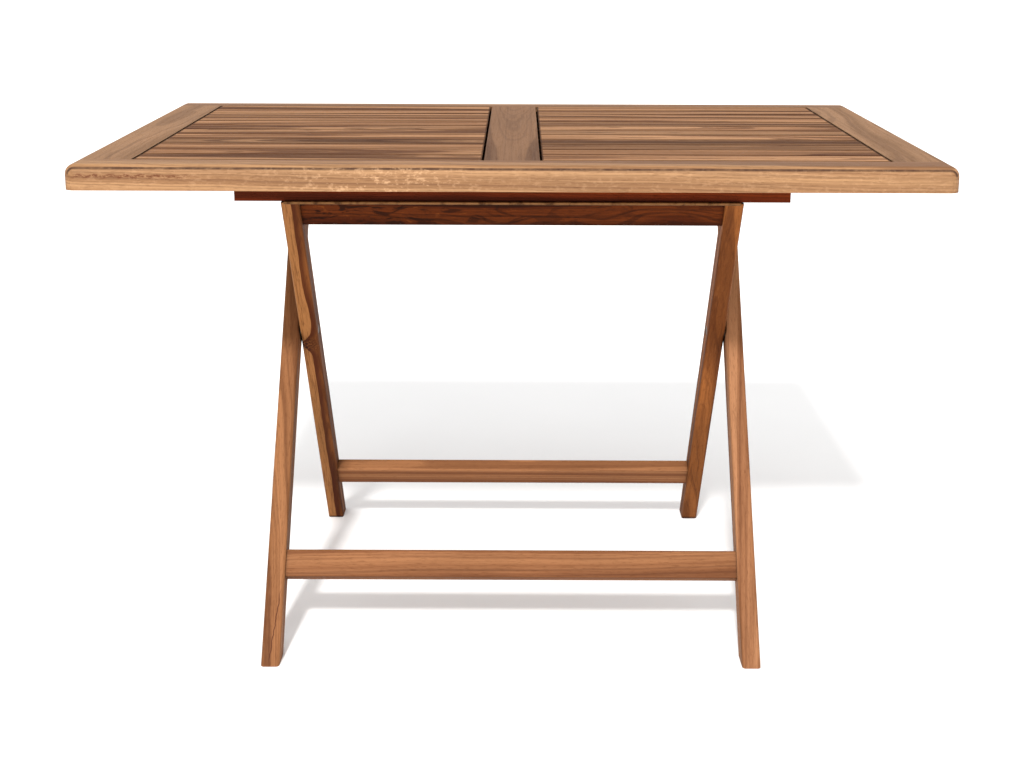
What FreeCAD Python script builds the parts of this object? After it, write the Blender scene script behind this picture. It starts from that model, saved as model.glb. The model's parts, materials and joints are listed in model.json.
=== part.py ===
import FreeCAD, Part
import math
import os
import Sketcher

# Folding slatted table: a slatted top on two crossed leg frames.
# X runs along the top, the front is at -Y, and Z is up from the floor. Sizes are in millimetres.

os.makedirs("parts", exist_ok=True)
document = FreeCAD.newDocument("FoldingTable")

SIZES = {
    # tabletop
    "table_length": 1210.0,
    "table_depth": 800.0,
    "table_height": 755.0,
    "rail_thickness": 35.0,
    "long_rail_width": 55.0,
    "end_rail_width": 80.0,
    "centre_rail_width": 77.0,
    "top_arris_radius": 14.0,
    "plan_corner_radius": 15.0,
    "tenon_width": 40.0,
    "tenon_thickness": 14.0,
    "tenon_length": 20.0,
    # slats
    "slat_width": 53.1,
    "slat_thickness": 20.0,
    "slat_gap": 4.0,
    "slat_end_gap": 3.5,
    "slat_arris_radius": 2.0,
    "tongue_thickness": 8.0,
    "tongue_length": 12.0,
    "tongue_drop": 2.0,
    "groove_depth": 9.0,
    # battens and catch blocks under the top
    "batten_length": 818.0,
    "batten_thickness": 24.0,
    "batten_bottom": 674.0,
    "batten_arris_radius": 2.0,
    "front_batten_y": -195.0,
    "rear_batten_y": 163.0,
    "catch_length": 50.0,
    "catch_back_y": 217.0,
    "catch_front_y": 189.5,
    "catch_bottom": 652.0,
    "catch_arris_radius": 3.0,
    # leg frames
    "crossing_y": -11.0,
    "crossing_height": 432.0,
    "lean_angle": 35.8,
    "leg_width": 40.0,
    "leg_thickness": 27.5,
    "leg_arris_radius": 5.0,
    "outer_half_width": 370.5,
    "frame_gap": 1.5,
    "outer_top_height": 673.8,
    "inner_top_height": 672.0,
    "cross_rail_thickness": 23.0,
    "cross_rail_width": 42.0,
    "cross_rail_arris_radius": 3.0,
    "outer_stretcher_drop": 388.0,
    "inner_stretcher_drop": 398.0,
    "leg_tenon_length": 14.0,
    "leg_tenon_width": 26.0,
    "leg_tenon_thickness": 12.0,
    # pivot at the crossing
    "bolt_radius": 4.0,
    "bolt_running_fit": 0.05,
    "bolt_head_radius": 9.0,
    "bolt_head_height": 3.5,
    "head_recess_radius": 10.0,
    "head_recess_depth": 5.0,
    "nut_radius": 8.0,
    "nut_height": 5.5,
    "nut_recess_radius": 9.0,
    "nut_recess_depth": 6.0,
    "washer_radius": 12.0,
    "washer_bore_radius": 4.3,
    "face_clearance": 0.1,
    # continuous hinge between the front batten and the inner frame
    "hinge_axis_y": -212.0,
    "hinge_axis_height": 673.0,
    "hinge_segment": 42.0,
    "hinge_segment_gap": 0.4,
    "hinge_leaf_start": 3.0,
    "hinge_leaf_width": 22.0,
    "hinge_leaf_face": 0.1,
    "hinge_leaf_back": 1.0,
    "hinge_tab_start": 1.6,
    "knuckle_radius": 2.5,
    "hinge_pin_radius": 1.25,
    "hinge_running_fit": 0.05,
    # screws
    "screw_head_radius": 4.0,
    "screw_head_height": 3.0,
    "screw_radius": 2.0,
    "batten_screw_length": 68.0,
    "catch_screw_length": 84.0,
    "hinge_screw_head_radius": 2.8,
    "hinge_screw_head_height": 0.9,
    "hinge_screw_radius": 1.2,
    "hinge_screw_length": 6.5,
}
SLATS_PER_BAY = 12
HINGE_SEGMENTS = 16

sheet = document.addObject("Spreadsheet::Sheet", "Sizes")
for row, (alias, amount) in enumerate(SIZES.items(), start=1):
    sheet.set("A%d" % row, alias)
    sheet.set("B%d" % row, str(amount))
    sheet.setAlias("B%d" % row, alias)
document.recompute()


class Size:
    """A length that knows both its number and the sheet expression it comes from."""

    def __init__(self, value, text):
        self.value = value
        self.text = text

    def __add__(self, other):
        other = as_size(other)
        return Size(self.value + other.value, "(%s + %s)" % (self.text, other.text))

    def __sub__(self, other):
        other = as_size(other)
        return Size(self.value - other.value, "(%s - %s)" % (self.text, other.text))

    def __mul__(self, other):
        other = as_size(other)
        return Size(self.value * other.value, "(%s * %s)" % (self.text, other.text))

    def __truediv__(self, other):
        other = as_size(other)
        return Size(self.value / other.value, "(%s / %s)" % (self.text, other.text))

    def __neg__(self):
        return self * -1


def as_size(item):
    if isinstance(item, Size):
        return item
    return Size(float(item), "(%s)" % float(item))


def size(alias):
    return Size(float(sheet.get(alias)), "Sizes." + alias)


def cosine(angle):
    return Size(math.cos(math.radians(angle.value)), "cos(%s)" % angle.text)


def tangent(angle):
    return Size(math.tan(math.radians(angle.value)), "tan(%s)" % angle.text)


def bind(item, path, amount):
    item.setExpression(path, as_size(amount).text)


# ---------------------------------------------------------------- building helpers


def new_body(label):
    body = document.addObject("PartDesign::Body", label)
    body.Label = label
    return body


def origin_plane(body, role):
    for feature in body.Origin.OriginFeatures:
        if feature.Role == role:
            return feature
    raise ValueError("no origin plane " + role)


def add_sketch(body, role, offset=0):
    """An empty sketch on an origin plane, moved along the plane's normal by offset."""
    sketch = body.newObject("Sketcher::SketchObject", body.Name + "_sketch")
    sketch.AttachmentSupport = [(origin_plane(body, role), "")]
    sketch.MapMode = "FlatFace"
    offset = as_size(offset)
    if offset.value:
        sketch.AttachmentOffset = FreeCAD.Placement(FreeCAD.Vector(0, 0, offset.value), FreeCAD.Rotation())
        bind(sketch, "AttachmentOffset.Base.z", offset)
    return sketch


def tie(sketch, kind, values, amount):
    """Add one driven dimension to a sketch and bind it to its expression."""
    index = sketch.addConstraint(Sketcher.Constraint(kind, *values, as_size(amount).value))
    name = "%s_%d" % (kind.lower(), index)
    sketch.renameConstraint(index, name)
    bind(sketch, "Constraints." + name, amount)


def add_polygon(sketch, corners):
    """A closed outline whose corners are each tied to the sketch origin."""
    points = [FreeCAD.Vector(as_size(x).value, as_size(y).value, 0) for x, y in corners]
    lines = [
        sketch.addGeometry(Part.LineSegment(point, points[(number + 1) % len(points)]), False)
        for number, point in enumerate(points)
    ]
    for number, line in enumerate(lines):
        following = lines[(number + 1) % len(lines)]
        sketch.addConstraint(Sketcher.Constraint("Coincident", line, 2, following, 1))
    for line, (x, y) in zip(lines, corners):
        tie(sketch, "DistanceX", (-1, 1, line, 1), x)
        tie(sketch, "DistanceY", (-1, 1, line, 1), y)


def add_rectangle(sketch, half_width, half_height, centre_x=0, centre_y=0):
    left = as_size(centre_x) - half_width
    right = as_size(centre_x) + half_width
    low = as_size(centre_y) - half_height
    high = as_size(centre_y) + half_height
    add_polygon(sketch, [(left, low), (right, low), (right, high), (left, high)])


def add_circle(sketch, radius):
    circle = sketch.addGeometry(
        Part.Circle(FreeCAD.Vector(0, 0, 0), FreeCAD.Vector(0, 0, 1), as_size(radius).value), False
    )
    sketch.addConstraint(Sketcher.Constraint("Coincident", circle, 3, -1, 1))
    tie(sketch, "Radius", (circle,), radius)


def symmetric_feature(body, kind, sketch, length):
    """A Pad or Pocket of the given length, half on each side of its sketch."""
    feature = body.newObject("PartDesign::" + kind, body.Name + "_" + kind.lower())
    feature.Profile = sketch
    feature.SideType = "Symmetric"
    feature.Length = as_size(length).value
    bind(feature, "Length", length)
    sketch.Visibility = False
    body.Tip = feature
    return feature


def pad_rectangle(body, role, half_width, half_height, length, centre_x=0, centre_y=0, offset=0):
    sketch = add_sketch(body, role, offset)
    add_rectangle(sketch, half_width, half_height, centre_x, centre_y)
    return symmetric_feature(body, "Pad", sketch, length)


def pad_polygon(body, role, corners, length):
    sketch = add_sketch(body, role)
    add_polygon(sketch, corners)
    return symmetric_feature(body, "Pad", sketch, length)


def pad_disc(body, radius, length, offset=0, bore=None):
    """A disc or tube about the body's X axis."""
    sketch = add_sketch(body, "YZ_Plane", offset)
    add_circle(sketch, radius)
    if bore is not None:
        add_circle(sketch, bore)
    return symmetric_feature(body, "Pad", sketch, length)


def cut(body, sketch, depth):
    """Pocket to the given depth on each side of the sketch, and check that wood came away."""
    document.recompute()
    before = body.Shape.Volume
    feature = symmetric_feature(body, "Pocket", sketch, as_size(depth) * 2)
    document.recompute()
    if body.Shape.Volume >= before - 1e-6:
        raise RuntimeError("pocket removed nothing from " + body.Label)
    return feature


def cut_rectangles(body, role, offset, rectangles, depth):
    sketch = add_sketch(body, role, offset)
    for rectangle in rectangles:
        add_rectangle(sketch, *rectangle)
    cut(body, sketch, depth)


def cut_disc(body, offset, radius, depth):
    sketch = add_sketch(body, "YZ_Plane", offset)
    add_circle(sketch, radius)
    cut(body, sketch, depth)


def edge_names(shape, wanted):
    """Names of the straight edges whose direction and middle point pass the wanted test."""
    names = []
    for number, edge in enumerate(shape.Edges, start=1):
        if edge.Curve.TypeId != "Part::GeomLine":
            continue
        first, last = edge.Vertexes[0].Point, edge.Vertexes[-1].Point
        direction = (last - first).normalize()
        if wanted(direction, (first + last) * 0.5):
            names.append("Edge%d" % number)
    return names


def round_edges(body, radius, wanted):
    document.recompute()
    previous = body.Tip
    names = edge_names(previous.Shape, wanted)
    if not names:
        raise RuntimeError("no edges to round on " + body.Label)
    fillet = body.newObject("PartDesign::Fillet", body.Name + "_fillet")
    fillet.Base = (previous, names)
    fillet.Radius = as_size(radius).value
    bind(fillet, "Radius", radius)
    body.Tip = fillet
    return fillet


def place(item, x=0, y=0, z=0, about_x=None, about_z=None):
    """Move a sub-part to its place; about_x and about_z turn it, in degrees."""
    axis, angle = FreeCAD.Vector(0, 0, 1), as_size(0)
    if about_x is not None:
        axis, angle = FreeCAD.Vector(1, 0, 0), as_size(about_x)
    if about_z is not None:
        angle = as_size(about_z)
    centre = [as_size(part) for part in (x, y, z)]
    base = FreeCAD.Vector(*[part.value for part in centre])
    item.Placement = FreeCAD.Placement(base, FreeCAD.Rotation(axis, angle.value))
    for name, part in zip("xyz", centre):
        bind(item, "Placement.Base." + name, part)


NEAR = 0.01


def near(first, second):
    return abs(first - as_size(second).value) < NEAR


# ---------------------------------------------------------------- tabletop frame

depth = size("table_depth")
length = size("table_length")
top = size("table_height")
rail_thick = size("rail_thickness")
long_width = size("long_rail_width")
end_width = size("end_rail_width")
centre_width = size("centre_rail_width")
rail_middle = top - rail_thick / 2
between_long_rails = depth - long_width * 2
end_rail_x = length / 2 - end_width / 2
tongue_height = top - size("slat_thickness") / 2 - size("tongue_drop")


def long_rail(label, side):
    """The full-length rail on one long side; side is -1 for the front and 1 for the rear."""
    body = new_body(label)
    pad_rectangle(body, "YZ_Plane", long_width / 2, rail_thick / 2, length)
    tenon = (size("tenon_width") / 2, size("tenon_thickness") / 2)
    mortises = [(tenon[0], tenon[1], x, 0) for x in (-end_rail_x, as_size(0), end_rail_x)]
    # The XZ plane's normal points to -Y, so a negative offset reaches the inner face.
    cut_rectangles(body, "XZ_Plane", -(long_width / 2), mortises, size("tenon_length"))
    outer_y = -long_width.value / 2
    half = length.value / 2
    high = rail_thick.value / 2
    round_edges(
        body,
        size("plan_corner_radius"),
        lambda way, middle: abs(way.z) > 0.9 and near(middle.y, outer_y) and near(abs(middle.x), half),
    )
    round_edges(
        body,
        size("top_arris_radius"),
        lambda way, middle: abs(way.z) < 0.1
        and near(middle.z, high)
        and (near(middle.y, outer_y) or near(abs(middle.x), half)),
    )
    turn = 0 if side < 0 else 180
    place(body, 0, (depth / 2 - long_width / 2) * side, rail_middle, about_z=turn)
    return body


def cross_member(label, width, groove_sides):
    """A rail across the top between the long rails, with a tenon at each end and slat grooves."""
    body = new_body(label)
    pad_rectangle(body, "XZ_Plane", width / 2, rail_thick / 2, between_long_rails)
    pad_rectangle(
        body,
        "XZ_Plane",
        size("tenon_width") / 2,
        size("tenon_thickness") / 2,
        between_long_rails + size("tenon_length") * 2,
    )
    groove = (between_long_rails / 2 + 1, size("tongue_thickness") / 2, 0, tongue_height - rail_middle)
    for side in groove_sides:
        cut_rectangles(body, "YZ_Plane", width / 2 * side, [groove], size("groove_depth"))
    return body


def end_rail(label, side):
    """side is -1 for the left end and 1 for the right."""
    body = cross_member(label, end_width, [1])
    outer_x = -end_width.value / 2
    high = rail_thick.value / 2
    round_edges(
        body,
        size("top_arris_radius"),
        lambda way, middle: abs(way.y) > 0.9 and near(middle.x, outer_x) and near(middle.z, high),
    )
    turn = 0 if side < 0 else 180
    place(body, end_rail_x * side, 0, rail_middle, about_z=turn)
    return body


parts = [
    long_rail("front_rail", -1),
    long_rail("rear_rail", 1),
    end_rail("left_end_rail", -1),
    end_rail("right_end_rail", 1),
]
centre_rail = cross_member("centre_rail", centre_width, [-1, 1])
place(centre_rail, 0, 0, rail_middle)
parts.append(centre_rail)

# ---------------------------------------------------------------- slats

slat_width = size("slat_width")
slat_thick = size("slat_thickness")
bay_start = centre_width / 2
bay_end = length / 2 - end_width
slat_length = bay_end - bay_start - size("slat_end_gap") * 2
slat_x = (bay_start + bay_end) / 2
slat_pitch = slat_width + size("slat_gap")
first_slat_y = slat_pitch * (-(SLATS_PER_BAY - 1) / 2)


def slat(label, side, number):
    body = new_body(label)
    pad_rectangle(body, "YZ_Plane", slat_width / 2, slat_thick / 2, slat_length)
    pad_rectangle(
        body,
        "YZ_Plane",
        slat_width / 2 - size("slat_gap"),
        size("tongue_thickness") / 2,
        slat_length + size("tongue_length") * 2,
        centre_y=-size("tongue_drop"),
    )
    half_width = slat_width.value / 2
    round_edges(
        body,
        size("slat_arris_radius"),
        lambda way, middle: abs(way.x) > 0.9 and near(abs(middle.y), half_width),
    )
    place(body, slat_x * side, first_slat_y + slat_pitch * number, top - slat_thick / 2)
    return body


for bay, side in (("left", -1), ("right", 1)):
    for number in range(SLATS_PER_BAY):
        parts.append(slat("%s_slat_%02d" % (bay, number + 1), side, number))

# ---------------------------------------------------------------- battens and catch blocks

batten_top = top - slat_thick
batten_low = size("batten_bottom")
batten_high = batten_top - batten_low
batten_thick = size("batten_thickness")


def batten(label, y):
    """A lengthwise batten under the slats, notched over the centre rail."""
    body = new_body(label)
    pad_rectangle(body, "YZ_Plane", batten_thick / 2, batten_high / 2, size("batten_length"))
    notch = (centre_width / 2 + 0.5, batten_thick / 2 + 1, 0, 0)
    cut_rectangles(body, "XY_Plane", batten_high / 2, [notch], rail_thick - slat_thick)
    low = -batten_high.value / 2
    round_edges(
        body,
        size("batten_arris_radius"),
        lambda way, middle: abs(way.x) > 0.9 and near(middle.z, low),
    )
    place(body, 0, y, batten_low + batten_high / 2)
    return body


parts.append(batten("front_batten", size("front_batten_y")))
parts.append(batten("rear_batten", size("rear_batten_y")))

outer_leg_x = size("outer_half_width") - size("leg_thickness") / 2
catch_thickness = size("catch_back_y") - size("catch_front_y")
catch_y = (size("catch_back_y") + size("catch_front_y")) / 2
catch_height = batten_top - size("catch_bottom")


def catch_block(label, side):
    """A stop block behind the rear batten; the outer frame's top sits between the two."""
    body = new_body(label)
    pad_rectangle(body, "YZ_Plane", catch_thickness / 2, catch_height / 2, size("catch_length"))
    low = -catch_height.value / 2
    round_edges(body, size("catch_arris_radius"), lambda way, middle: near(middle.z, low))
    place(body, outer_leg_x * side, catch_y, size("catch_bottom") + catch_height / 2)
    return body


parts.append(catch_block("left_catch_block", -1))
parts.append(catch_block("right_catch_block", 1))

# ---------------------------------------------------------------- leg frames

lean = size("lean_angle")
slope = tangent(lean)
rise = cosine(lean)
crossing_y = size("crossing_y")
crossing_z = size("crossing_height")
leg_half = size("leg_width") / 2
leg_thick = size("leg_thickness")
inner_half_width = size("outer_half_width") - leg_thick - size("frame_gap")


def leaning_end(height, across, way):
    """Distance along the leg, from the crossing, of a level cut at a height above the floor."""
    return (as_size(height) - crossing_z) / rise + across * slope * way


class Frame:
    """One leg frame. way is 1 when its top leans to the rear and -1 when it leans to the front."""

    def __init__(self, name, way, half_width, top_height, stretcher_drop):
        self.name = name
        self.way = way
        self.half_width = half_width
        self.top_height = top_height
        self.stretcher_drop = stretcher_drop
        self.inside = half_width - leg_thick
        self.top_tenon = (top_height - crossing_z) / rise - size("cross_rail_width") / 2 - 3

    def put(self, body, x=0):
        place(body, x, crossing_y, crossing_z, about_x=lean * -self.way)
        turn = lean * -self.way
        bind(body, "Placement.Rotation.Angle", turn)
        return body

    def leg(self, side):
        label = "%s_%s_leg" % (self.name, "left" if side < 0 else "right")
        body = new_body(label)
        back, front = leg_half, -leg_half
        outline = [
            (front, leaning_end(0, front, self.way)),
            (back, leaning_end(0, back, self.way)),
            (back, leaning_end(self.top_height, back, self.way)),
            (front, leaning_end(self.top_height, front, self.way)),
        ]
        pad_polygon(body, "YZ_Plane", outline, leg_thick)
        round_edges(body, size("leg_arris_radius"), lambda way, middle: abs(way.z) > 0.98)
        tenon = (size("leg_tenon_thickness") / 2, size("leg_tenon_width") / 2)
        mortises = [(*tenon, 0, self.top_tenon), (*tenon, 0, -self.stretcher_drop)]
        inner_face = leg_thick / 2 * -side
        cut_rectangles(body, "YZ_Plane", inner_face, mortises, size("leg_tenon_length"))
        self.bore(body, side)
        self.put(body, (self.half_width - leg_thick / 2) * side)
        return body

    def bore(self, body, side):
        """The pivot hole, with a recess for the bolt head outside or the nut inside."""
        if self.way > 0:
            hole = size("bolt_radius") + size("bolt_running_fit")
            cut_disc(body, leg_thick / 2 * side, size("head_recess_radius"), size("head_recess_depth"))
        else:
            hole = size("bolt_radius")
            cut_disc(body, leg_thick / 2 * -side, size("nut_recess_radius"), size("nut_recess_depth"))
        cut_disc(body, 0, hole, leg_thick)

    def rail(self, label, outline, tenon_centre):
        """A rail between the legs with a tenon at each end."""
        body = new_body(label)
        pad_polygon(body, "YZ_Plane", outline, self.inside * 2)
        pad_rectangle(
            body,
            "YZ_Plane",
            size("leg_tenon_thickness") / 2,
            size("leg_tenon_width") / 2,
            self.inside * 2 + size("leg_tenon_length") * 2,
            centre_y=tenon_centre,
        )
        half = size("cross_rail_thickness").value / 2
        round_edges(
            body,
            size("cross_rail_arris_radius"),
            lambda way, middle: abs(way.x) > 0.9 and near(abs(middle.y), half),
        )
        return self.put(body)

    def top_rail(self):
        half = size("cross_rail_thickness") / 2
        low = (self.top_height - crossing_z) / rise - size("cross_rail_width")
        outline = [
            (-half, low),
            (half, low),
            (half, leaning_end(self.top_height, half, self.way)),
            (-half, leaning_end(self.top_height, -half, self.way)),
        ]
        return self.rail(self.name + "_top_rail", outline, self.top_tenon)

    def stretcher(self):
        half = size("cross_rail_thickness") / 2
        low = -self.stretcher_drop - size("cross_rail_width") / 2
        high = -self.stretcher_drop + size("cross_rail_width") / 2
        outline = [(-half, low), (half, low), (half, high), (-half, high)]
        return self.rail(self.name + "_stretcher", outline, -self.stretcher_drop)

    def build(self):
        return [self.leg(-1), self.leg(1), self.top_rail(), self.stretcher()]


outer_frame = Frame(
    "outer", 1, size("outer_half_width"), size("outer_top_height"), size("outer_stretcher_drop")
)
inner_frame = Frame("inner", -1, inner_half_width, size("inner_top_height"), size("inner_stretcher_drop"))
parts += outer_frame.build()
parts += inner_frame.build()

# ---------------------------------------------------------------- pivot hardware at the crossing

head_seat = size("outer_half_width") - size("head_recess_depth") + size("face_clearance")
nut_seat = inner_half_width - leg_thick + size("nut_recess_depth")
shank_inner = nut_seat - size("nut_height")


def pivot_bolt(label, side):
    body = new_body(label)
    shank = head_seat - shank_inner
    middle = (head_seat + shank_inner) / 2
    pad_disc(body, size("bolt_radius"), shank)
    head_offset = head_seat + size("bolt_head_height") / 2 - middle
    pad_disc(body, size("bolt_head_radius"), size("bolt_head_height"), offset=head_offset)
    place(body, middle * side, crossing_y, crossing_z, about_z=0 if side > 0 else 180)
    return body


def pivot_nut(label, side):
    body = new_body(label)
    pad_disc(body, size("nut_radius"), size("nut_height"), bore=size("bolt_radius"))
    place(body, (nut_seat - size("nut_height") / 2) * side, crossing_y, crossing_z)
    return body


def pivot_washer(label, side):
    body = new_body(label)
    thickness = size("frame_gap") - size("face_clearance")
    pad_disc(body, size("washer_radius"), thickness, bore=size("washer_bore_radius"))
    place(body, (inner_half_width + thickness / 2) * side, crossing_y, crossing_z)
    return body


for hand, side in (("left", -1), ("right", 1)):
    parts.append(pivot_bolt(hand + "_pivot_bolt", side))
    parts.append(pivot_nut(hand + "_pivot_nut", side))
    parts.append(pivot_washer(hand + "_pivot_washer", side))

# ---------------------------------------------------------------- continuous hinge

segment = size("hinge_segment")
hinge_length = segment * HINGE_SEGMENTS
hinge_y = size("hinge_axis_y")
hinge_z = size("hinge_axis_height")


def hinge_leaf(label, way, first, bore):
    """One leaf; way is 1 for the leaf above the axis and -1 for the one below."""
    body = new_body(label)
    leaf_middle = (size("hinge_leaf_face") + size("hinge_leaf_back")) / 2 * way
    leaf_half = (size("hinge_leaf_back") - size("hinge_leaf_face")) / 2
    start = size("hinge_leaf_start")
    end = start + size("hinge_leaf_width")
    pad_rectangle(
        body,
        "YZ_Plane",
        (end - start) / 2,
        leaf_half,
        hinge_length,
        centre_x=(start + end) / 2,
        centre_y=leaf_middle,
    )
    tube = segment - size("hinge_segment_gap")
    tab = size("hinge_tab_start")
    for number in range(first, HINGE_SEGMENTS, 2):
        offset = segment * (number + 0.5 - HINGE_SEGMENTS / 2)
        pad_rectangle(
            body,
            "YZ_Plane",
            (start + 1 - tab) / 2,
            leaf_half,
            tube,
            centre_x=(start + 1 + tab) / 2,
            centre_y=leaf_middle,
            offset=offset,
        )
        pad_disc(body, size("knuckle_radius"), tube, offset=offset, bore=bore)
    place(body, 0, hinge_y, hinge_z)
    return body


pin_radius = size("hinge_pin_radius")
parts.append(hinge_leaf("hinge_upper_leaf", 1, 0, pin_radius))
parts.append(hinge_leaf("hinge_lower_leaf", -1, 1, pin_radius + size("hinge_running_fit")))
hinge_pin = new_body("hinge_pin")
pad_disc(hinge_pin, pin_radius, hinge_length)
place(hinge_pin, 0, hinge_y, hinge_z)
parts.append(hinge_pin)

# ---------------------------------------------------------------- screws


def screw_group(label, prefix, shank_length, seats, way):
    """Identical screws as separate solids. way is 1 when they are driven upwards, -1 downwards."""
    radius = size(prefix + "_radius")
    head_radius = size(prefix + "_head_radius")
    head_height = size(prefix + "_head_height")
    screws = []
    for number, (x, y, z) in enumerate(seats, start=1):
        shank = document.addObject("Part::Cylinder", "%s_shank_%d" % (label, number))
        head = document.addObject("Part::Cylinder", "%s_head_%d" % (label, number))
        for item, item_radius, height in ((shank, radius, shank_length), (head, head_radius, head_height)):
            bind(item, "Radius", item_radius)
            bind(item, "Height", height)
            item_z = as_size(z) if way > 0 else as_size(z) - height
            place(item, x, y, item_z)
        screw = document.addObject("Part::MultiFuse", "%s_screw_%d" % (label, number))
        screw.Shapes = [shank, head]
        screws.append(screw)
    group = document.addObject("Part::Compound", label)
    group.Links = screws
    group.Label = label
    return group


batten_seats = [
    (x, y, batten_low) for y in (size("front_batten_y"), size("rear_batten_y")) for x in (-375, 0, 375)
]
catch_seats = [
    ((outer_leg_x + shift) * side, 203, size("catch_bottom")) for side in (-1, 1) for shift in (-10, 10)
]
hinge_screw_x = [42 * step for step in (-7, -5, -3, -1, 1, 3, 5, 7)]
hinge_screw_y = -190
parts.append(screw_group("batten_screws", "screw", size("batten_screw_length"), batten_seats, 1))
parts.append(screw_group("catch_block_screws", "screw", size("catch_screw_length"), catch_seats, 1))
upper_seats = [(x, hinge_screw_y, hinge_z + size("hinge_leaf_face")) for x in hinge_screw_x]
lower_seats = [(x, hinge_screw_y, hinge_z - size("hinge_leaf_face")) for x in hinge_screw_x]
hinge_screw = size("hinge_screw_length")
parts.append(screw_group("hinge_upper_screws", "hinge_screw", hinge_screw, upper_seats, 1))
parts.append(screw_group("hinge_lower_screws", "hinge_screw", hinge_screw, lower_seats, -1))

# ---------------------------------------------------------------- check and write

document.recompute()
for item in document.Objects:
    if "Invalid" in item.State or "Error" in item.State:
        raise RuntimeError("%s is %s" % (item.Label, item.State))
for part in parts:
    if part.Shape.isNull() or not part.Shape.isValid():
        raise RuntimeError(part.Label + " has no valid shape")
    part.Shape.exportStep("parts/%s.step" % part.Label)
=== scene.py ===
import json
import math
import random

import bpy
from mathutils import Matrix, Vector


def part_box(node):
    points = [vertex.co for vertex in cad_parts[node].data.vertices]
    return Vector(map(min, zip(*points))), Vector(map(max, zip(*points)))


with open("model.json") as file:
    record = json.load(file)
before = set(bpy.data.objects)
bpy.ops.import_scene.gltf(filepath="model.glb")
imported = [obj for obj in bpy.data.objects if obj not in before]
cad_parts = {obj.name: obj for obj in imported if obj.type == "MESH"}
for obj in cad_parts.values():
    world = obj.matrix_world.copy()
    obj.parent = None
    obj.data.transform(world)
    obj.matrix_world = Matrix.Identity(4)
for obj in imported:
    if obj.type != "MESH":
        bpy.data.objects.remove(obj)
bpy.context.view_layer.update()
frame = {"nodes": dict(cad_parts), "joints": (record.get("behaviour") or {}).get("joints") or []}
nodes = frame["nodes"]

# ---------------------------------------------------------------- shader building


def srgb(red, green, blue):
    """A display colour, 0 to 255, as the linear colour that a shader takes."""

    def linear(value):
        value /= 255
        return value / 12.92 if value <= 0.04045 else ((value + 0.055) / 1.055) ** 2.4

    return (linear(red), linear(green), linear(blue), 1.0)


class Shader:
    """A node material being built. An input is a number, a tuple or another node's output."""

    def __init__(self, name):
        self.material = bpy.data.materials.new(name)
        self.material.use_nodes = True
        self.tree = self.material.node_tree
        self.tree.nodes.clear()
        self.surface = self.tree.nodes.new("ShaderNodeBsdfPrincipled")
        output = self.tree.nodes.new("ShaderNodeOutputMaterial")
        self.tree.links.new(self.surface.outputs["BSDF"], output.inputs["Surface"])
        self.coordinates = self.tree.nodes.new("ShaderNodeTexCoord")

    def feed(self, socket, value):
        if isinstance(value, bpy.types.NodeSocket):
            self.tree.links.new(value, socket)
        else:
            socket.default_value = value

    def node(self, kind, values=(), **settings):
        item = self.tree.nodes.new(kind)
        for key, setting in settings.items():
            setattr(item, key, setting)
        for socket, value in zip(item.inputs, values):
            self.feed(socket, value)
        return item

    def math(self, operation, *values):
        return self.node("ShaderNodeMath", values, operation=operation).outputs[0]

    def times(self, value, factor):
        return self.math("MULTIPLY", value, factor)

    def plus(self, value, other):
        return self.math("ADD", value, other)

    def minus(self, value, other):
        return self.math("SUBTRACT", value, other)

    def size_of(self, value):
        return self.math("ABSOLUTE", value)

    def square(self, value):
        return self.math("POWER", value, 2.0)

    def hump(self, value):
        """1 where value is 0, falling to nothing on both sides: exp(-value * value)."""
        return self.math("EXPONENT", self.times(self.square(value), -1.0))

    def line(self, value, factor, offset):
        return self.math("MULTIPLY_ADD", value, factor, offset)

    def dot(self, vector, direction):
        values = (vector, direction if isinstance(direction, bpy.types.NodeSocket) else tuple(direction))
        return self.node("ShaderNodeVectorMath", values, operation="DOT_PRODUCT").outputs["Value"]

    def combine(self, x, y, z):
        return self.node("ShaderNodeCombineXYZ", (x, y, z)).outputs[0]

    def noise(self, x, y, z, detail=2.0, roughness=0.5, distortion=0.0):
        item = self.node("ShaderNodeTexNoise")
        self.feed(item.inputs["Vector"], self.combine(x, y, z))
        item.inputs["Scale"].default_value = 1.0
        item.inputs["Detail"].default_value = detail
        item.inputs["Roughness"].default_value = roughness
        item.inputs["Distortion"].default_value = distortion
        return item.outputs["Fac"]

    def noise_line(self, position, detail=2.0, roughness=0.5):
        item = self.node("ShaderNodeTexNoise", noise_dimensions="1D")
        self.feed(item.inputs["W"], position)
        item.inputs["Scale"].default_value = 1.0
        item.inputs["Detail"].default_value = detail
        item.inputs["Roughness"].default_value = roughness
        return item.outputs["Fac"]

    def span(self, value, low, high, out_low=0.0, out_high=1.0):
        """low..high becomes out_low..out_high, smoothly, and stays there beyond."""
        values = (value, low, high, out_low, out_high)
        return self.node("ShaderNodeMapRange", values, interpolation_type="SMOOTHSTEP").outputs[0]

    def mix(self, factor, first, second, blend="MIX"):
        item = self.node("ShaderNodeMix", data_type="RGBA", blend_type=blend)
        self.feed(item.inputs[0], factor)
        self.feed(item.inputs[6], first)
        self.feed(item.inputs[7], second)
        return item.outputs[2]

    def shade(self, colour, tone):
        """The colour, darker where tone is below 1 and lighter where it is above."""
        return self.mix(1.0, colour, self.combine(tone, tone, tone), "MULTIPLY")

    def bump(self, height, strength, distance):
        item = self.node("ShaderNodeBump")
        item.inputs["Strength"].default_value = strength
        item.inputs["Distance"].default_value = distance
        self.feed(item.inputs["Height"], height)
        self.feed(self.surface.inputs["Normal"], item.outputs[0])


# ---------------------------------------------------------------- wood

ALONG_X = (Vector((1, 0, 0)), Vector((0, 1, 0)), Vector((0, 0, 1)))
ALONG_Y = (Vector((0, 1, 0)), Vector((1, 0, 0)), Vector((0, 0, 1)))


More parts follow.
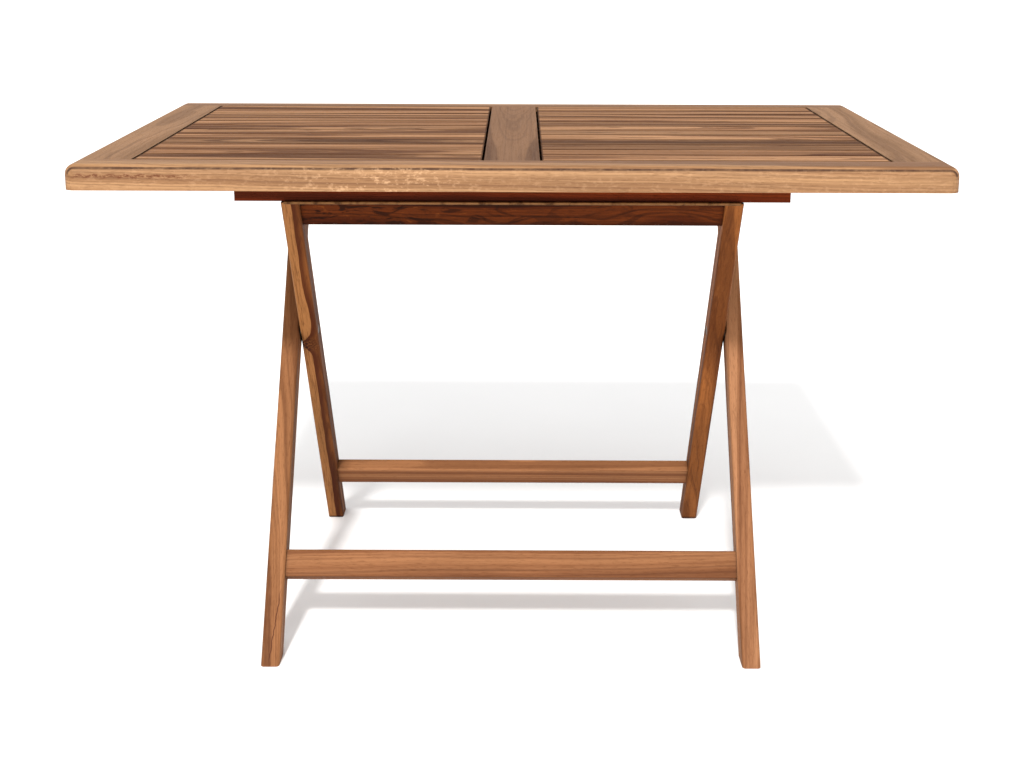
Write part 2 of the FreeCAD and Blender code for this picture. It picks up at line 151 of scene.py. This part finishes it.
def leaning(leg):
    """A leaning leg's axes: along it, across its narrow face and through its wide one."""
    points = [vertex.co for vertex in nodes[leg].data.vertices]
    top = max(points, key=lambda point: point.z)
    foot = min(points, key=lambda point: point.z)
    lean = Vector((0, top.y - foot.y, top.z - foot.z)).normalized()
    across = Vector((1, 0, 0))
    return lean, across, lean.cross(across)


class Look:
    """The figure of one kind of board.

    light, middle and dark are its colours. bands is how many broad growth rings there are to a
    metre. streak and lines are how strongly the broad and the fine dark rings show. tone is how
    far boards differ in lightness. sway is how far the rings wander in metres, the arris value how
    far the arrises are painted lighter, as worn edges and, set high, as a painted highlight, and
    gloss how strongly the oil reflects.
    """

    def __init__(self, light, middle, dark, bands, streak, lines, tone, sway=0.020, wear_and_highlight=0.45, gloss=0.20):
        self.light = srgb(*light)
        self.middle = srgb(*middle)
        self.dark = srgb(*dark)
        self.bands = bands
        self.streak = streak
        self.lines = lines
        self.tone = tone
        self.sway = sway
        self.wear_and_highlight = wear_and_highlight
        self.gloss = gloss


LINES_PER_BAND = 7
RIPPLE_HEIGHT = 0.0030
ARRIS_WIDTH = 0.003
CREVICE_SHADE_DEPTH = 0.008
RELIEF = 0.0006


def teak(node, axes, look, extra=None, tone=None):
    """Oiled teak, with its growth rings round a pith that lies at a slant outside the board."""
    luck = random.Random(node)
    make = Shader(node + "_teak")
    low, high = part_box(node)
    centred = make.node("ShaderNodeVectorMath", (make.coordinates.outputs["Object"],), operation="SUBTRACT")
    centred.inputs[1].default_value = (low + high) / 2
    along, wide, deep = [make.dot(centred.outputs[0], axis) for axis in axes]
    start = luck.uniform(0, 50)

    def stretched(along_scale, across_scale, detail, roughness=0.5):
        """Noise drawn out along the board. Scales are in cells to a metre."""
        x = make.line(along, along_scale, start)
        y, z = make.times(wide, across_scale), make.times(deep, across_scale)
        return make.noise(x, y, z, detail, roughness)

    # Growth rings: bands and fine lines of uneven darkness, by distance from the pith.
    wander = stretched(1.9, 6.0, 2.0)
    ripple = stretched(14.0, 25.0, 1.0)
    sway = make.line(ripple, RIPPLE_HEIGHT, make.times(wander, look.sway))
    from_pith = []
    for across, distance in ((wide, luck.uniform(-0.05, 0.05)), (deep, luck.uniform(0.03, 0.09))):
        slant = make.line(along, luck.uniform(-0.03, 0.03), distance)
        from_pith.append(make.square(make.plus(make.plus(across, slant), sway)))
    radius = make.math("SQRT", make.plus(*from_pith))
    bands = make.noise_line(make.line(radius, look.bands, start), 2.0, 0.55)
    lines = make.noise_line(make.line(radius, look.bands * LINES_PER_BAND, start), 2.0, 0.6)

    # Fibres, dark streaks, pores and slow changes of tone.
    fibre = stretched(9.0, 650.0, 3.0, 0.65)
    flow = stretched(1.0, 120.0, 3.0, 0.6)
    pore = make.span(stretched(75.0, 1300.0, 1.0), 0.60, 0.70)
    cloud = stretched(4.5, 16.0, 2.0)

    colour = make.mix(make.span(bands, 0.40, 0.56), look.light, look.middle)
    colour = make.mix(make.times(make.span(bands, 0.54, 0.64), look.streak), colour, look.dark)
    colour = make.mix(make.times(make.span(flow, 0.48, 0.66), look.streak * 0.65), colour, look.dark)
    colour = make.mix(make.times(make.span(lines, 0.50, 0.64), look.lines), colour, look.dark)
    colour = make.mix(make.span(fibre, 0.50, 0.78, 0.0, 0.35), colour, look.dark)
    colour = make.mix(make.span(fibre, 0.28, 0.48, 0.30, 0.0), colour, look.light)
    if extra:
        colour = extra(make, colour, along, wide, deep)
    if tone is None:
        tone = luck.uniform(-look.tone, look.tone)
    colour = make.shade(colour, make.line(cloud, 0.36, 0.82 + tone))
    colour = make.mix(make.times(pore, 0.40), colour, look.dark)

    # End grain is darker and shows the rings as arcs.
    facing = make.size_of(make.dot(make.coordinates.outputs["Normal"], axes[0]))
    arcs = make.mix(make.span(lines, 0.42, 0.62), look.middle, look.dark)
    colour = make.mix(make.span(facing, 0.72, 0.86, 0.0, 0.8), colour, arcs)

    # Arrises are painted lighter, unevenly: worn edges, and where the look sets this high, as on the
    # stretchers, a painted highlight.
    rounded = make.node("ShaderNodeBevel", (ARRIS_WIDTH,), samples=4)
    true_normal = make.node("ShaderNodeNewGeometry").outputs["Normal"]
    arris = make.span(make.dot(true_normal, rounded.outputs[0]), 0.90, 0.995, 1.0, 0.0)
    rubbed_and_highlit = make.span(cloud, 0.38, 0.62, 0.3 * look.wear_and_highlight, look.wear_and_highlight)
    colour = make.mix(make.times(arris, rubbed_and_highlit), colour, look.light)

    # Painted shade: the colour is darkened in the gaps and corners, the more the closer other surfaces stand
    # round them.
    crevice_shade = make.node("ShaderNodeAmbientOcclusion", samples=6)
    crevice_shade.inputs["Distance"].default_value = CREVICE_SHADE_DEPTH
    colour = make.shade(colour, make.span(crevice_shade.outputs["AO"], 0.15, 0.80, 0.12, 1.0))

    make.feed(make.surface.inputs["Base Color"], colour)
    make.feed(make.surface.inputs["Roughness"], make.line(pore, 0.12, make.line(fibre, 0.20, 0.52)))
    make.surface.inputs["Specular IOR Level"].default_value = look.gloss
    make.bump(make.line(pore, -0.8, make.line(lines, 0.5, fibre)), 0.35, RELIEF)
    return make.material


def metal(name, colour, tarnish, roughness):
    """Satin metal with fine scratches along X, and tarnish in patches."""
    make = Shader(name)
    x, y, z = make.node("ShaderNodeSeparateXYZ", (make.coordinates.outputs["Object"],)).outputs
    scratch = make.noise(make.times(x, 60.0), make.times(y, 900.0), make.times(z, 900.0), 3.0)
    patch = make.noise(make.times(x, 90.0), make.times(y, 90.0), make.times(z, 90.0), 4.0)
    shade = make.mix(make.span(patch, 0.45, 0.75), srgb(*colour), srgb(*tarnish))
    make.feed(make.surface.inputs["Base Color"], shade)
    make.surface.inputs["Metallic"].default_value = 1.0
    make.feed(make.surface.inputs["Roughness"], make.line(scratch, 0.25, roughness))
    make.bump(scratch, 0.12, 0.0003)
    return make.material


def paint(node, material):
    nodes[node].data.materials[0] = material


# ---------------------------------------------------------------- the kinds of board

SLAT = Look(
    (162, 121, 87), (127, 90, 62), (62, 33, 19), 75, 0.62, 0.50, 0.12, sway=0.010, wear_and_highlight=0.15, gloss=0.02
)
END_RAIL = Look((140, 105, 75), (121, 88, 59), (82, 53, 32), 45, 0.40, 0.30, 0.02, gloss=0.08)
CENTRE_RAIL = Look((120, 86, 59), (104, 72, 47), (72, 44, 26), 45, 0.40, 0.30, 0.02, gloss=0.08)
LONG_RAIL = Look((152, 114, 78), (129, 92, 60), (86, 54, 32), 45, 0.45, 0.40, 0.02, wear_and_highlight=0.15)
LEFT_OUTER_LEG = Look((134, 90, 57), (112, 72, 43), (66, 34, 17), 45, 0.45, 0.30, 0.03, gloss=0.08)
RIGHT_OUTER_LEG = Look((146, 102, 70), (124, 82, 53), (74, 40, 22), 45, 0.45, 0.30, 0.03, gloss=0.08)
INNER_LEG = Look((132, 79, 41), (107, 61, 29), (56, 25, 10), 55, 0.50, 0.40, 0.03, gloss=0.05)
# The stretchers' arrises are made much lighter: a painted highlight as well as worn edges.
STRETCHER = Look((134, 90, 58), (112, 70, 42), (70, 36, 18), 50, 0.35, 0.40, 0.03, wear_and_highlight=0.80, gloss=0.08)
# Painted shade: the inner top rail, the battens and the catch blocks stand in shade under the top, so their
# colours are made darker and redder, and their gloss lower, than the same wood in the light.
TOP_RAIL_PAINTED_SHADE = Look((86, 38, 11), (62, 23, 6), (26, 9, 3), 70, 0.80, 0.45, 0.0, sway=0.050, gloss=0.04)
BATTEN_PAINTED_SHADE = Look((110, 43, 11), (90, 32, 8), (50, 16, 4), 55, 0.55, 0.40, 0.02, gloss=0.05)

# Some slats are clearly darker or lighter than the rest.
SLAT_TONES = {
    "left_slat_02": 0.08,
    "left_slat_04": -0.26,
    "right_slat_01": 0.10,
    "right_slat_02": 0.06,
    "right_slat_03": -0.20,
    "right_slat_04": -0.28,
    "right_slat_05": 0.08,
    "right_slat_06": -0.22,
    "right_slat_07": 0.08,
    "right_slat_08": -0.16,
}

# ---------------------------------------------------------------- figure of single boards, with painted light and shade on some
# Each figure takes the shader, the colour so far and the place on the board, in metres from its
# middle, and gives the new colour.


def painted_light_above(make, colour, along, foot_tone, top_tone):
    """Painted light and shade: the leg is made paler towards its top, making up for the shade of the table's
    top, and darker towards its foot, where the lamp reaches it; it is a little yellower all along.
    """
    change_from, change_to = -0.14, 0.04
    blue_share = 0.90
    red = make.span(along, change_from, change_to, foot_tone, top_tone)
    blue = make.span(along, change_from, change_to, foot_tone * blue_share, top_tone * blue_share)
    return make.mix(1.0, colour, make.combine(red, red, blue), "MULTIPLY")


def right_inner_painted_light(make, colour, along, wide, deep):
    # Painted light and shade: paler towards the top, darker towards the foot.
    return painted_light_above(make, colour, along, 0.88, 1.30)


def sapwood_and_knot(node, axes):
    """Pale sapwood along the outer half of the leg, pinched off where dark rings curl round a knot."""
    low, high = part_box(node)
    pivot = next(joint for joint in frame["joints"] if joint["name"] == "frame_scissor")
    knot_below_pivot = 0.0145
    knot = axes[0].dot(Vector(pivot["pos_m"]) - (low + high) / 2) - knot_below_pivot
    pinch_length, pinch_depth = 0.017, -0.015
    bulge_length, bulge_height, bulge_offset = 0.045, 0.004, -1.4
    sap, sap_grain = srgb(146, 98, 60), srgb(104, 64, 36)
    heart, ring, between_rings = srgb(64, 27, 12), srgb(38, 15, 7), srgb(120, 70, 36)

    def figure(make, colour, along, wide, deep):
        height = make.plus(along, -knot)
        pinch = make.hump(make.times(height, 1 / pinch_length))
        bulge = make.hump(make.line(height, 1 / bulge_length, bulge_offset))
        wobble = make.times(make.noise(make.times(along, 9.0), 0.0, 0.0, 2.0), 0.006)
        swollen = make.line(bulge, bulge_height, make.plus(wobble, -0.0015))
        inside = make.minus(wide, make.line(pinch, pinch_depth, swollen))

        grain_x, grain_y, grain_z = make.times(along, 5.0), make.times(wide, 420.0), make.times(deep, 420.0)
        grain = make.noise(grain_x, grain_y, grain_z, 3.0, 0.6)
        sapwood = make.mix(make.span(grain, 0.46, 0.68, 0.0, 0.9), sap, sap_grain)
        colour = make.mix(make.span(inside, -0.0006, 0.0006, 0.90, 0.0), colour, sapwood)
        vein_start = make.span(inside, -0.0005, 0.0002)
        vein = make.times(vein_start, make.span(inside, 0.0030, 0.0120, 0.85, 0.20))
        colour = make.mix(vein, colour, heart)

        # Round the knot the rings fan out from the leg's outer edge.
        across = make.line(wide, 0.7, 0.006)
        reach = make.math("SQRT", make.plus(make.square(height), make.square(across)))
        twist = make.noise(make.times(along, 150.0), make.times(wide, 90.0), make.times(deep, 90.0), 3.0)
        curl = make.noise_line(make.line(twist, 9.0, make.times(reach, 420.0)), 2.0, 0.6)
        pale = make.times(make.span(curl, 0.38, 0.46, 0.9, 0.0), make.span(reach, 0.006, 0.024, 0.9, 0.0))
        dark = make.times(make.span(curl, 0.45, 0.58), make.span(reach, 0.006, 0.026, 0.9, 0.0))
        colour = make.mix(dark, make.mix(pale, colour, between_rings), ring)
        # Painted light and shade: the leg is also made paler towards its top and darker towards its foot.
        return painted_light_above(make, colour, along, 0.80, 1.04)

    return figure


def foot_crack(node, axes):
    """A dark wandering grain line in the lowest part of a leg."""
    foot = min(axes[0].dot(vertex.co) for vertex in nodes[node].data.vertices)
    low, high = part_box(node)
    start = foot - axes[0].dot((low + high) / 2)
    slope = 0.11
    wander = 0.006

    def figure(make, colour, along, wide, deep):
        height = make.plus(along, -start)
        wobble = make.noise(make.times(height, 60.0), 0.0, 0.0, 2.0)
        path = make.line(height, slope, make.line(wobble, wander, -wander))
        thin = make.span(make.size_of(make.minus(wide, path)), 0.0003, 0.0011, 0.9, 0.0)
        reach = make.times(make.span(height, 0.0, 0.02), make.span(height, 0.095, 0.125, 1.0, 0.0))
        return make.mix(make.times(thin, reach), colour, srgb(62, 28, 16))

    return figure


def slat_edges(node):
    """Painted shade: the slat is darker along its edges and by its shoulders, beside the gaps, and nearly
    black without gloss on its end tongues where they lie in the rails' grooves.
    """
    low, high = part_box(node)
    tongue_length = 0.012
    shoulder = (high.x - low.x) / 2 - tongue_length
    half_width = (high.y - low.y) / 2
    gap_shade, unlit = srgb(52, 28, 17), srgb(12, 6, 4)

    def figure(make, colour, along, wide, deep):
        from_middle = make.size_of(along)
        side = make.span(make.size_of(wide), half_width - 0.0060, half_width - 0.0010, 0.0, 0.65)
        end = make.span(from_middle, shoulder - 0.0024, shoulder - 0.0012, 0.0, 0.8)
        colour = make.mix(make.math("MAXIMUM", side, end), colour, gap_shade)
        # Painted shadow: the tongues in the rails' grooves are made nearly black, and their gloss is taken
        # away.
        hidden = make.span(from_middle, shoulder - 0.0004, shoulder + 0.0002)
        make.feed(make.surface.inputs["Specular IOR Level"], make.line(hidden, -SLAT.gloss, SLAT.gloss))
        return make.mix(make.times(hidden, 0.96), colour, unlit)

    return figure


def curly_figure(make, colour, along, wide, deep):
    """Swirling light and dark patches, strongest near the left end."""
    swirl = make.noise(make.times(along, 13.0), make.times(wide, 40.0), make.times(deep, 40.0), 4.0, 0.6, 2.2)
    strength = make.span(along, -0.20, 0.10, 1.0, 0.45)
    dark = make.times(make.span(swirl, 0.50, 0.60, 0.0, 0.85), strength)
    colour = make.mix(dark, colour, srgb(28, 10, 4))
    pale = make.times(make.span(swirl, 0.28, 0.40, 0.60, 0.0), strength)
    return make.mix(pale, colour, srgb(126, 66, 24))


def front_rail_figure(make, colour, along, wide, deep):
    """A line along the rounded arris, dark flecks under it at the left end, and pale flecks further on."""
    arris_from_middle = 0.0238
    scallop_length, scallop_height, scallop_level = 0.021, 0.0011, 0.0022

    uneven = make.noise(make.times(along, 22.0), 0.0, 0.0, 3.0, 0.7)
    off_arris = make.size_of(make.plus(wide, arris_from_middle))
    upper_half = make.span(deep, 0.002, 0.006)
    arris = make.times(make.span(off_arris, 0.0006, 0.0020, 0.95, 0.0), upper_half)
    arris = make.times(arris, make.span(uneven, 0.30, 0.62, 0.60, 1.0))
    colour = make.mix(arris, colour, srgb(54, 29, 16))

    front_face = make.span(wide, -0.026, -0.018, 1.0, 0.0)
    turns = make.times(along, 2 * math.pi / scallop_length)
    scallops = make.line(make.math("SINE", turns), scallop_height, scallop_level)
    off_scallops = make.size_of(make.minus(deep, scallops))
    chips = make.noise(make.times(along, 190.0), 0.0, make.times(deep, 520.0), 3.0, 0.7)
    left_end = make.times(make.span(along, -0.60, -0.585), make.span(along, -0.47, -0.40, 1.0, 0.0))
    fleck = make.times(make.span(off_scallops, 0.0008, 0.0036, 1.0, 0.0), make.span(chips, 0.44, 0.52))
    fleck = make.times(make.times(fleck, left_end), front_face)
    colour = make.mix(fleck, colour, srgb(92, 50, 24))
    # Painted light and shade: the front face is made a little lighter, and the top a little darker, as the
    # lamp from the front falls on them.
    colour = make.shade(colour, make.span(wide, -0.026, -0.018, 0.91, 1.05))

    spots = make.noise(make.times(along, 95.0), make.times(wide, 95.0), make.times(deep, 150.0), 4.0, 0.75)
    left_of_middle = make.times(make.span(along, -0.36, -0.20), make.span(along, -0.16, -0.02, 1.0, 0.0))
    pale = make.times(make.span(spots, 0.50, 0.66, 0.0, 0.6), make.line(left_of_middle, 0.75, 0.25))
    return make.mix(make.times(pale, front_face), colour, srgb(182, 144, 108))


# ---------------------------------------------------------------- the pieces' finishes


def finish_wood():
    outer_axes = leaning("outer_left_leg")
    inner_axes = leaning("inner_left_leg")
    left_foot = foot_crack("outer_left_leg", outer_axes)
    left_knot = sapwood_and_knot("inner_left_leg", inner_axes)
    boards = [
        (("front_rail",), ALONG_X, LONG_RAIL, front_rail_figure),
        (("rear_rail",), ALONG_X, LONG_RAIL, None),
        (("left_end_rail", "right_end_rail"), ALONG_Y, END_RAIL, None),
        (("centre_rail",), ALONG_Y, CENTRE_RAIL, None),
        (("outer_left_leg",), outer_axes, LEFT_OUTER_LEG, left_foot),
        (("outer_right_leg",), outer_axes, RIGHT_OUTER_LEG, None),
        (("inner_left_leg",), inner_axes, INNER_LEG, left_knot),
        (("inner_right_leg",), inner_axes, INNER_LEG, right_inner_painted_light),
        (("outer_stretcher", "outer_top_rail", "inner_stretcher"), ALONG_X, STRETCHER, None),
        (("inner_top_rail",), ALONG_X, TOP_RAIL_PAINTED_SHADE, curly_figure),
        (("front_batten", "rear_batten", "left_catch_block", "right_catch_block"), ALONG_X, BATTEN_PAINTED_SHADE, None),
    ]
    for node in nodes:
        if "_slat_" in node:
            paint(node, teak(node, ALONG_X, SLAT, slat_edges(node), SLAT_TONES.get(node)))
    for names, axes, look, figure in boards:
        for node in names:
            paint(node, teak(node, axes, look, figure))


def finish_metal():
    brass = metal("hinge_brass", (122, 86, 54), (70, 46, 28), 0.45)
    steel = metal("bolt_steel", (104, 100, 95), (62, 58, 54), 0.45)
    for node in nodes:
        if node.startswith("hinge_"):
            paint(node, brass)
        elif "pivot" in node or node.endswith("_screws"):
            paint(node, steel)


# ---------------------------------------------------------------- floor, light and camera


def floor():
    reach = 40.0
    corners = [(-reach, -reach, 0), (reach, -reach, 0), (reach, reach, 0), (-reach, reach, 0)]
    mesh = bpy.data.meshes.new("floor")
    mesh.from_pydata(corners, [], [(0, 1, 2, 3)])
    plane = bpy.data.objects.new("floor", mesh)
    bpy.context.scene.collection.objects.link(plane)
    make = Shader("floor_white")
    x, y, _ = make.node("ShaderNodeSeparateXYZ", (make.coordinates.outputs["Object"],)).outputs
    mottle = make.noise(make.times(x, 3.0), make.times(y, 3.0), 0.0, 3.0)
    white = make.mix(mottle, (0.90, 0.90, 0.90, 1), (0.94, 0.94, 0.94, 1))
    make.feed(make.surface.inputs["Base Color"], white)
    make.surface.inputs["Roughness"].default_value = 0.9
    mesh.materials.append(make.material)


def lamp(name, azimuth, elevation, strength, softness):
    """A distant lamp. Azimuth 0 is straight in front of the table, and positive to its right."""
    data = bpy.data.lights.new(name, "SUN")
    data.energy = strength
    data.angle = math.radians(softness)
    data.color = (1.0, 0.985, 0.965)
    holder = bpy.data.objects.new(name, data)
    turn, rise = math.radians(azimuth), math.radians(elevation)
    towards = Vector((math.sin(turn) * math.cos(rise), -math.cos(turn) * math.cos(rise), math.sin(rise)))
    holder.rotation_euler = towards.to_track_quat("Z", "Y").to_euler()
    bpy.context.scene.collection.objects.link(holder)


def surroundings(strength):
    """An even white sky."""
    world = bpy.data.worlds.new("studio")
    bpy.context.scene.world = world
    world.use_nodes = True
    background = world.node_tree.nodes["Background"]
    background.inputs["Color"].default_value = (1.0, 1.0, 1.0, 1.0)
    background.inputs["Strength"].default_value = strength


def camera():
    """In front of the table and a little above its top, looking down at it."""
    look_down, turn, roll = 0.22684, 0.0032, -0.00287
    data = bpy.data.cameras.new("camera")
    data.sensor_width = 36.0
    data.lens = 56.33
    data.shift_y = -0.0831
    view = bpy.data.objects.new("camera", data)
    view.location = (0.0096, -2.5462, 1.0662)
    view.rotation_euler = (math.radians(90) - look_down, roll, turn)
    bpy.context.scene.collection.objects.link(view)
    bpy.context.scene.camera = view


finish_wood()
finish_metal()
floor()
lamp("key", azimuth=-8, elevation=41, strength=3.3, softness=5)
lamp("fill", azimuth=-4, elevation=8, strength=1.7, softness=25)
surroundings(1.0)
camera()
bpy.context.scene.view_settings.view_transform = "Standard"
